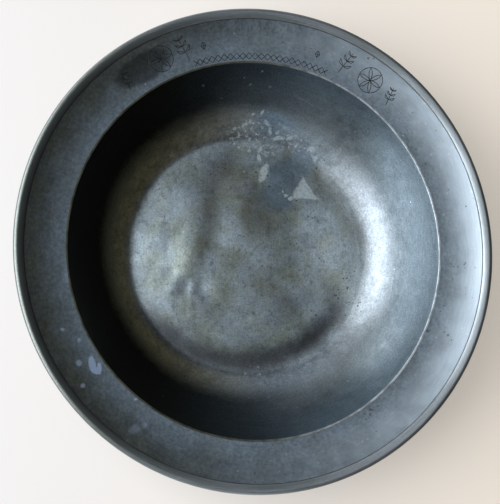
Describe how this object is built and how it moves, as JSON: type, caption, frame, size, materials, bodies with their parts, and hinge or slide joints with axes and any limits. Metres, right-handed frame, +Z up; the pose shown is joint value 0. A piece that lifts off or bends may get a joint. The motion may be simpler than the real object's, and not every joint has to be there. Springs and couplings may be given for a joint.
{
  "type": "pewter basin",
  "caption": "Round pewter basin: deep bowl with a crowned floor, a broad dished brim round its mouth and a reeded outer edge; stands on its base to hold water or food.",
  "frame": {"origin": "centre of the base, on the plane that the basin stands on", "axes": "+Z up along the basin's own axis, +X towards the right of the picture, +Y towards its top"},
  "size_m": [0.33, 0.33, 0.0533],
  "materials": {
    "bowl_pewter": "dark oxidised pewter, satin, pitted on the floor",
    "brim_pewter": "dark oxidised pewter, satin, fine turning lines",
    "reed_pewter": "worn grey pewter, satin"
  },
  "bodies": {
    "root": {"bowl": "bowl_pewter", "brim": "brim_pewter", "edge_reed": "reed_pewter"}
  },
  "joints": []
}
